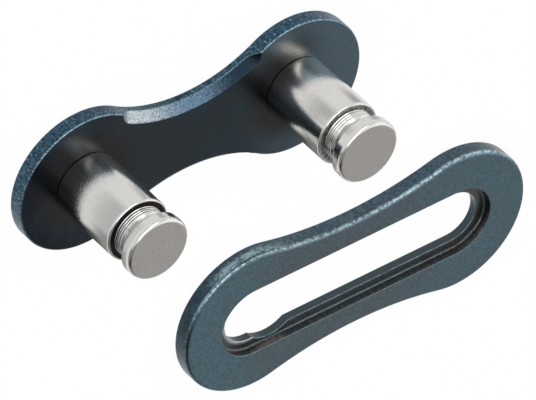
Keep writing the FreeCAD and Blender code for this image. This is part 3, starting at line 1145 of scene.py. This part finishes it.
    def panels(self, stations: Stations, top: float) -> list[Patch]:
        """Fill the faces between the pin holes: x runs from hole to hole, y = r sin(turn).

        Args:
            stations: Stations of the ring, whose feet the panels share.
            top: Height of the inner face.

        Returns:
            The panel of the inner face and the one of the back.
        """
        feet = np.unique(np.round(np.append(stations.foot[stations.across], stations.half_pitch), 6))
        turn = np.linspace(-QUARTER, QUARTER, PANEL_STEPS + 1)[:, None]
        made = []
        for radius, height in zip(self.hole, (top, 0.0)):
            y = radius * np.sin(turn)
            span = stations.half_pitch - radius * np.cos(turn)
            x = feet[None] / stations.half_pitch * span
            grid = np.stack(np.broadcast_arrays(x, y, height), axis=-1)
            made.append(Patch(grid, self.worn(grid, stations.half_pitch), ring_columns=False))
        return made

    def holes(self, half_pitch: float, top: float) -> list[Patch]:
        """Line the two pin holes: straight through, flared at the back for the peened ends.

        Args:
            half_pitch: Distance from the middle of the plate to a pin axis.
            top: Height of the inner face.

        Returns:
            The lining of each hole.
        """
        outer = np.linspace(-QUARTER, QUARTER, END_STEPS + 1)[:-1]
        inner = np.linspace(QUARTER, 3 * QUARTER, PANEL_STEPS + 1)[:-1]
        bore, flare = self.hole
        made = []
        for axis, start in ((half_pitch, 0.0), (-half_pitch, math.pi)):
            turn = np.concatenate([outer, inner]) + start
            circle = np.stack([np.cos(turn), np.sin(turn)], axis=1)
            sections = ((flare, 0.0), (bore, self.rivet_depth), (bore, top))
            rows = [(circle * radius + (axis, 0.0), height) for radius, height in sections]
            made.append(Patch(stack_rows(rows)))
        return made


@dataclass
class SlottedPlate(SubAssembly):
    """The loose plate: a recess for the pin heads, a slot with a round seat, and a round bay.

    Attributes:
        lobe: Radius of the round ends.
        waist: Width at the waist.
        outer_round: Rolled edge round the outer face.
        inner_round: Rounding of the edge round the inner face.
        recess: Half width of the recess and its depth.
        slot: Half width of the slot.
        seat: Radius of the round seat at the slot's left end.
        bay: Radius of the round bay that a head passes through.
        slide: Distance from the seat's centre to the bay's.
        lip: Rounding of the edges of the recess and the slot.
        flats: Where the inner face, the outer face and the flats beside a lip start, in radii
            of the round next to them.
        margin: Distance that the outer wall's loops keep from the rounds.
        foot: Height of the line at the foot of the recess wall.
        past_seat: How far the painted highlight round the seat goes on past its corner.
        lit_reach: How far the painted highlight patch of the roll reaches from the left end's centre.
        lines: Strength of the painted highlight lines along the recess, at its foot and along the slot.
        bare_floor: Strength of the painted highlight band on the recess floor round the seat.
    """

    lobe: float = 4.27
    waist: float = 6.86
    outer_round: float = 0.22
    inner_round: float = 0.08
    recess: Pair = (2.07, 0.5)
    slot: float = 1.52
    seat: float = 1.54
    bay: float = 1.89
    slide: float = 1.25
    lip: float = 0.035
    flats: Vector3 = (1.3, 1.12, 1.5)
    margin: float = 0.03
    foot: float = 0.02
    past_seat: float = 0.1
    lit_reach: float = 1.4
    lines: Vector3 = (0.25, 0.5, 0.6)
    bare_floor: float = 0.8

    def slot_loop(self, stations: Stations) -> Array:
        """Find the slot's edge: the widest of the straight slot, the seat and the bay.

        Args:
            stations: Stations round the plate.

        Returns:
            Points of the edge, two coordinates each.
        """
        x = stations.foot
        seat = np.sqrt(np.maximum(self.seat**2 - (x + stations.half_pitch) ** 2, 0))
        bay_middle = self.slide - stations.half_pitch
        bay = np.sqrt(np.maximum(self.bay**2 - (x - bay_middle) ** 2, 0))
        straight = np.where(x > bay_middle, self.slot, 0)
        width = np.maximum(np.maximum(seat, bay), straight)
        left_end = ~stations.across & (x < 0)
        right_end = ~stations.across & (x > 0)
        return stations.loop(np.where(left_end, self.seat, np.where(right_end, self.slot, width)))

    def corners(self, half_pitch: float) -> list[float]:
        """Find the corners of the slot's edge, where two of its circles and lines cross.

        Args:
            half_pitch: Distance from the middle of the plate to the seat's centre.

        Returns:
            Their places on the pitch line: from the seat to the bay, and from the bay to the slot.
        """
        cusp = (self.seat**2 - self.bay**2 + self.slide**2) / (2 * self.slide) - half_pitch
        bay_end = math.sqrt(self.bay**2 - self.slot**2) + self.slide - half_pitch
        return [cusp, bay_end]

    def outer_edge(self, stations: Stations) -> tuple[Array, Array]:
        """Return the points and the outward normals of the plate's outline."""
        return LinkOutline(stations.half_pitch, self.lobe, self.waist).edge(stations)

    def add_edge(self, stack: LoopStack, stations: Stations, top: float) -> None:
        """Add the loops of the plate's edge, from the inner face up over the roll.

        Args:
            stack: The plate's loops so far.
            stations: Stations round the plate.
            top: Height of the outer face.
        """
        edge, normal = self.outer_edge(stations)
        arc = np.linspace(0, QUARTER, 9)
        for angle in arc[::2]:
            loop = edge - normal * self.inner_round * (1 - math.sin(angle))
            stack.add(loop, self.inner_round * (1 - math.cos(angle)), roll=1)
        upwards = stations.aim[:, 1]
        # Painted highlights on the roll: its line is brighter on the +Y side, and a bright patch lies
        # on it near the left end.
        bright = 0.2 + 0.8 * smooth(0.2, 0.9, upwards)
        from_left = (stations.foot + stations.half_pitch) / self.lit_reach
        lit = 0.8 * smooth(0.75, 0.97, upwards) * np.exp(-(from_left**2))
        wall_end = top - self.outer_round
        for height in np.linspace(self.inner_round + self.margin, wall_end - self.margin, 9):
            stack.add(edge, height, roll=1, rim=smooth(0.3, 0.8, height / wall_end) * lit)
        for angle in arc:
            share = angle / QUARTER
            line = bright * math.exp(-(((share - 0.3) / 0.26) ** 2))
            stack.add(
                edge - normal * self.outer_round * (1 - math.cos(angle)),
                wall_end + self.outer_round * math.sin(angle),
                roll=1 - smooth(0.45, 0.85, share),
                rim=np.maximum(line, lit * (angle < 0.5)),
            )

    def add_recess(self, stack: LoopStack, stations: Stations, top: float) -> None:
        """Add the loops of the outer face and of the recess: its lip and its wall.

        Args:
            stack: The plate's loops so far.
            stations: Stations round the plate.
            top: Height of the outer face.
        """
        edge, normal = self.outer_edge(stations)
        half_width, depth = self.recess
        floor, beside = top - depth, self.lip * self.flats[2]
        face_start = edge - normal * self.outer_round * self.flats[1]
        for loop in between(face_start, stations.loop(half_width + beside), np.linspace(0, 1, 7)):
            stack.add(loop, top)
        for angle in np.linspace(0, QUARTER, 5):
            loop = stations.loop(half_width + self.lip * (1 - math.sin(angle)))
            # Painted highlight lines along the recess lip and at the foot of the recess wall, and below
            # along the slot lip.
            line = self.lines[0] * math.sin(2 * angle)
            stack.add(loop, top - self.lip * (1 - math.cos(angle)), rim=line, step=angle / QUARTER)
        recess = stations.loop(half_width)
        heights = np.linspace(top - beside, floor + self.foot, 6)
        for height in heights:
            stack.add(recess, height, step=1, rim=self.lines[1] * (height == heights[-1]))

    def add_slot(self, stack: LoopStack, stations: Stations, floor: float) -> None:
        """Add the loops of the recess floor, the slot and the inner face.

        Args:
            stack: The plate's loops so far.
            stations: Stations round the plate.
            floor: Height of the recess floor.
        """
        slot = self.slot_loop(stations)
        into = loop_normals(slot)
        beside = self.lip * self.flats[2]
        # Painted highlight round the seat: a bright band on the recess floor and a bright line on the
        # lip.
        seated = 1.0 * (stations.foot < self.corners(stations.half_pitch)[0] + self.past_seat)
        shares = np.array([0.04, 0.35, 0.7, 1.0])
        loops = between(stations.loop(self.recess[0]), slot + into * beside, shares)
        for share, loop in zip(shares, loops):
            stack.add(loop, floor, ledge=1, bare=self.bare_floor * (share == 1) * seated)
        lip_arc = np.linspace(0, QUARTER, 5)
        for angle in lip_arc:
            line = math.sin(2 * angle)
            stack.add(
                slot + into * self.lip * (1 - math.sin(angle)),
                floor - self.lip * (1 - math.cos(angle)),
                rim=self.lines[2] * line,
                slot=angle / QUARTER,
                ledge=1 - angle / QUARTER,
                bare=line * seated,
            )
        for height in np.linspace(floor - beside, beside, 6):
            stack.add(slot, height, slot=1)
        for angle in lip_arc:
            loop = slot + into * self.lip * (1 - math.cos(angle))
            stack.add(loop, self.lip * (1 - math.sin(angle)), slot=1 - angle / QUARTER)
        edge, normal = self.outer_edge(stations)
        back = edge - normal * self.inner_round * self.flats[0]
        for loop in between(slot + into * beside, back, np.linspace(0, 1, 5)):
            stack.add(loop, 0.0)

    def patches(self) -> list[Patch]:
        """Carry the plate's section round the slot as one closed ring of loops.

        Returns:
            The plate as one grid.
        """
        low, high = (np.array(corner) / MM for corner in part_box(self.node))
        centre = (low + high)[:2] / 2
        top = float(high[2])
        size = (high - low)[:2] / 2 - self.lobe
        half_pitch = float(np.hypot(*size))
        turned = math.atan2(size[1], size[0])
        stations = Stations.around(half_pitch, self.corners(half_pitch), STATION_SPACING)
        stack = LoopStack(Mark.ROLL, Mark.RIM, Mark.STEP, Mark.LEDGE, Mark.SLOT, Mark.BARE)
        self.add_edge(stack, stations, top)
        self.add_recess(stack, stations, top)
        self.add_slot(stack, stations, top - self.recess[1])
        grid = stack_rows(stack.rows)
        cosine, sine = math.cos(turned), math.sin(turned)
        grid[..., :2] = grid[..., :2] @ np.array([[cosine, sine], [-sine, cosine]]) + centre
        return [Patch(grid, stack.masks(), ring_rows=True)]


# Studio


@dataclass(frozen=True)
class StudioCamera:
    """The camera at the photograph's viewing angle.

    Attributes:
        azimuth: Compass direction it looks from; 0 looks along +Y, in degrees.
        elevation: Height above the horizon, in degrees.
        roll: Turn about its own axis, clockwise, in degrees.
        aim: Point at the middle of the picture.
        distance: Distance to that point.
        lens: Focal length for the sensor's width.
        sensor: Width of the sensor.
    """

    azimuth: float = -144.974
    elevation: float = 36.883
    roll: float = -132.431
    aim: Vector3 = (5.5103, -7.5866, 0.0)
    distance: float = 548.51
    lens: float = 738.81
    sensor: float = 36.0

    def build(self) -> None:
        """Make the camera and make it the scene's own."""
        data = bpy.data.cameras.new("camera")
        data.sensor_width = self.sensor
        data.lens = self.lens
        camera = bpy.data.objects.new("camera", data)
        around, above = math.radians(self.azimuth), math.radians(self.elevation)
        back = Vector(
            (math.sin(around) * math.cos(above), -math.cos(around) * math.cos(above), math.sin(above))
        )
        camera.location = (Vector(self.aim) + back * self.distance) * MM
        upright = (-back).to_track_quat("-Z", "Y").to_matrix().to_4x4()
        spin = Matrix.Rotation(-math.radians(self.roll), 4, "Z")
        camera.rotation_mode = "QUATERNION"
        camera.rotation_quaternion = (upright @ spin).to_quaternion()
        bpy.context.scene.collection.objects.link(camera)
        bpy.context.scene.camera = camera


@dataclass(frozen=True)
class Softbox:
    """A rectangular lamp with a diffusing front.

    Attributes:
        name: Name of the lamp.
        place: Where its middle is.
        target: Where it points.
        size: Width and height.
        level: Brightness of its front; 1 is white.
    """

    name: str
    place: Vector3
    target: Vector3
    size: Pair
    level: float

    def build(self) -> None:
        """Make the lamp; its power is the level times pi times its area."""
        data = bpy.data.lights.new(self.name, "AREA")
        data.shape = "RECTANGLE"
        data.size, data.size_y = (side * MM for side in self.size)
        data.energy = self.level * math.pi * data.size * data.size_y
        lamp = bpy.data.objects.new(self.name, data)
        lamp.location = Vector(self.place) * MM
        towards = Vector(self.target) - Vector(self.place)
        lamp.rotation_mode = "QUATERNION"
        lamp.rotation_quaternion = towards.to_track_quat("-Z", "Y")
        bpy.context.scene.collection.objects.link(lamp)


def make_reflector(name: str, patch: Patch) -> None:
    """Make a glowing sheet that only shows in the object's reflections.

    Args:
        name: Name of the sheet.
        patch: Its grid, with the brightness as its tone.
    """
    shader = Shader(name)
    glow = shader.node("ShaderNodeEmission", None, {"Color": shader.mark(Mark.TONE), "Strength": 1.0})
    sheet = make_piece(name, [patch])
    sheet.data.materials.append(shader.finish(glow))
    sheet.visible_camera = False
    sheet.visible_diffuse = False
    sheet.visible_shadow = False
    sheet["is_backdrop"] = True


@dataclass(frozen=True)
class Panel:
    """A lighter or darker part of the tent; angles are in degrees.

    Attributes:
        azimuth: Compass direction of its middle, anticlockwise from +X.
        elevation: Height of its middle above the horizon.
        half_width: Half of its width along the horizon.
        half_height: Half of its height.
        soft: Width of its soft border.
        level: Brightness; 1 is white.
    """

    azimuth: float
    elevation: float
    half_width: float
    half_height: float
    soft: float
    level: float

    def share(self, azimuth: Array, elevation: Array) -> Array:
        """Work out how much of the panel there is at each place of the tent.

        Args:
            azimuth: Compass direction of each place.
            elevation: Height of each place above the horizon.

        Returns:
            Values from 0 to 1.
        """
        sideways = np.abs((azimuth - self.azimuth + 180) % 360 - 180)
        upwards = np.abs(elevation - self.elevation)
        across = 1 - smooth(self.half_width, self.half_width + self.soft, sideways)
        return across * (1 - smooth(self.half_height, self.half_height + self.soft, upwards))


@dataclass(frozen=True)
class Tent:
    """A round tent of white cloth with panels, over the whole set.

    Attributes:
        radius: Its radius.
        cloth: Brightness of the cloth; 1 is white.
        panels: Its panels; a later one covers the ones before it.
    """

    radius: float = 400.0
    cloth: float = 0.9
    panels: tuple[Panel, ...] = (
        Panel(-105.0, 30.0, 70.0, 40.0, 14.0, 0.30),
        Panel(-55.0, 36.0, 26.0, 26.0, 14.0, 0.47),
        Panel(-124.0, 37.0, 9.0, 14.0, 6.0, 0.02),
        Panel(5.0, 40.0, 24.0, 28.0, 10.0, 1.3),
        Panel(75.0, 39.0, 15.0, 7.0, 4.0, 3.0),
    )

    def build(self) -> None:
        """Make the tent: x = r cos(el) cos(az), y = r cos(el) sin(az), z = r sin(el)."""
        azimuth, elevation = np.meshgrid(DIRECTIONS, np.linspace(0.0, 90.0, 46))
        tone = np.full(azimuth.shape, self.cloth)
        for panel in self.panels:
            tone += (panel.level - tone) * panel.share(azimuth, elevation)
        around, above = np.radians(azimuth), np.radians(elevation)
        grid = self.radius * np.stack(
            [np.cos(above) * np.cos(around), np.cos(above) * np.sin(around), np.sin(above)], axis=-1
        )
        make_reflector("light_tent", Patch(grid, {Mark.TONE.value: tone}))


@dataclass(frozen=True)
class Fan:
    """A fan of grey boards on the floor round one pin, which shades the pin's side.

    Attributes:
        name: Name of the fan.
        middle: Place of the pin's axis along the pitch line.
        boards: First and last angle, in degrees, and brightness of each board; the rest is white.
        core: The same of the dark core close to the plate.
        radii: Radii at which the dark core starts and ends, the boards start, and they end unless
            they meet the next fan or the slotted plate.
        room: Distance from the axis to the slotted plate, and to the middle of the pin plate.
        lift: Height of the boards above the floor.
        soft: Half width of the boards' soft borders, in degrees.
    """

    name: str
    middle: float
    boards: tuple[Vector3, ...]
    core: tuple[Vector3, ...] = ((228.0, 330.0, 0.07),)
    radii: tuple[float, float, float, float] = (4.0, 6.0, 7.0, 10.4)
    room: Pair = (9.3, 6.3)
    lift: float = 0.02
    soft: float = 12.0

    def build(self) -> None:
        """Make the fan: x = r cos(turn), y = r sin(turn) about the pin's axis."""
        tiny = 1e-6
        turn = np.radians(DIRECTIONS)
        forward = np.maximum(-np.sin(turn), tiny)
        inward = np.maximum(-math.copysign(1.0, self.middle) * np.cos(turn), tiny)
        limit = np.minimum(self.room[0] / forward, self.room[1] / inward)
        radius = np.minimum(np.array(self.radii)[:, None], limit)
        tones = []
        for boards in (self.core, self.boards):
            tone = np.ones_like(turn)
            for start, stop, level in boards:
                from_middle = np.abs((DIRECTIONS - (start + stop) / 2 + 180) % 360 - 180)
                beyond = from_middle - (stop - start) / 2
                tone += (level - tone) * (1 - smooth(-self.soft, self.soft, beyond))
            tones += [tone, tone]
        height = np.full_like(radius, self.lift)
        grid = np.stack([self.middle + radius * np.cos(turn), radius * np.sin(turn), height], axis=-1)
        make_reflector(self.name, Patch(grid, {Mark.TONE.value: np.stack(tones)}))


@dataclass(frozen=True)
class Studio:
    """Plain white surroundings: floor, sky, lamp, tent and boards.

    Attributes:
        floor_half: Half of the floor's side.
        floor_white: How much of the floor's white is its own glow, for the camera and mirrors.
        sky: Brightness of the surroundings as light.
        lamp: The lamp that casts the object's soft shadow.
        tent: The tent over the set.
        fans: The boards round the pins.
    """

    floor_half: float = 900.0
    floor_white: float = 0.95
    sky: float = 0.9
    lamp: Softbox = Softbox("overhead_lamp", (-30.0, 60.0, 150.0), (0.0, -5.0, 0.0), (110.0, 70.0), 2.2)
    tent: Tent = Tent()
    fans: tuple[Fan, ...] = (
        Fan("left_boards", -HALF_PITCH, ((8.0, 38.0, 0.5), (102.0, 196.0, 0.65), (196.0, 312.0, 0.37))),
        Fan("right_boards", HALF_PITCH, ((8.0, 38.0, 0.5), (102.0, 196.0, 0.6), (196.0, 312.0, 0.27))),
    )

    def build_floor(self) -> None:
        """Make the white floor, which still takes the object's shadow."""
        half = self.floor_half * MM
        corners = [(-half, -half, 0), (half, -half, 0), (half, half, 0), (-half, half, 0)]
        mesh = bpy.data.meshes.new("floor")
        mesh.from_pydata(corners, [], [(0, 1, 2, 3)])
        shader = Shader("white_floor")
        matt = shader.node("ShaderNodeBsdfDiffuse", None, {"Color": (0.9, 0.9, 0.9)})
        glow = shader.node("ShaderNodeEmission", None, {"Color": (1.0, 1.0, 1.0), "Strength": 1.0})
        share = self.seen_rays(shader) * self.floor_white
        surface = shader.node("ShaderNodeMixShader", None, {0: share, 1: matt, 2: glow})
        mesh.materials.append(shader.finish(surface))
        floor = bpy.data.objects.new("floor", mesh)
        bpy.context.scene.collection.objects.link(floor)
        floor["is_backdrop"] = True

    @staticmethod
    def seen_rays(shader: Shader) -> Socket:
        """Tell the rays of the camera, of mirrors and of glass from the rest.

        Args:
            shader: The material that asks.

        Returns:
            1 for those rays, else 0.
        """
        kinds = ("Is Camera Ray", "Is Glossy Ray", "Is Transmission Ray")
        camera, glossy, through = (shader.node("ShaderNodeLightPath", output=kind) for kind in kinds)
        return (camera + glossy + through).step(0.0, 1.0)

    def build_sky(self) -> None:
        """Make the surroundings white where they are seen and a little dimmer as light."""
        world = bpy.data.worlds.new("studio")
        world.use_nodes = True
        nodes, links = world.node_tree.nodes, world.node_tree.links
        background = nodes["Background"]
        background.inputs["Color"].default_value = (1.0, 1.0, 1.0, 1.0)
        path = nodes.new("ShaderNodeLightPath")
        strength = nodes.new("ShaderNodeMapRange")
        strength.inputs["To Min"].default_value = self.sky
        strength.inputs["To Max"].default_value = 1.0
        links.new(path.outputs["Is Camera Ray"], strength.inputs["Value"])
        links.new(strength.outputs[0], background.inputs["Strength"])
        bpy.context.scene.world = world

    def build(self) -> None:
        """Build the whole studio."""
        self.build_floor()
        self.build_sky()
        for thing in (self.lamp, self.tent, *self.fans):
            thing.build()
        bpy.context.scene.view_settings.view_transform = "Standard"


def main() -> tuple[Vector, Vector]:
    """Build the object and its studio.

    Returns:
        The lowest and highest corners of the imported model.
    """
    logging.basicConfig(level=logging.INFO, format="%(name)s: %(message)s")
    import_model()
    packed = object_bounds()
    StudioCamera().build()
    Studio().build()
    steel = BrightSteel().material()
    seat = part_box("pin_plate")[1].z / MM
    pieces = [
        (PinPlate("pin_plate", Finish.BLUED_STEEL), BluedSteel().material()),
        (Pin("left_pin", Finish.BRIGHT_STEEL, seat=seat), steel),
        (Pin("right_pin", Finish.BRIGHT_STEEL, seat=seat, painted_shading=0.6), steel),
        (SlottedPlate("slotted_plate", Finish.BLUED_FACE), BluedFace().material()),
    ]
    for part, material in pieces:
        part.build(material)
    return packed


if __name__ == "__main__":
    cad_box = main()
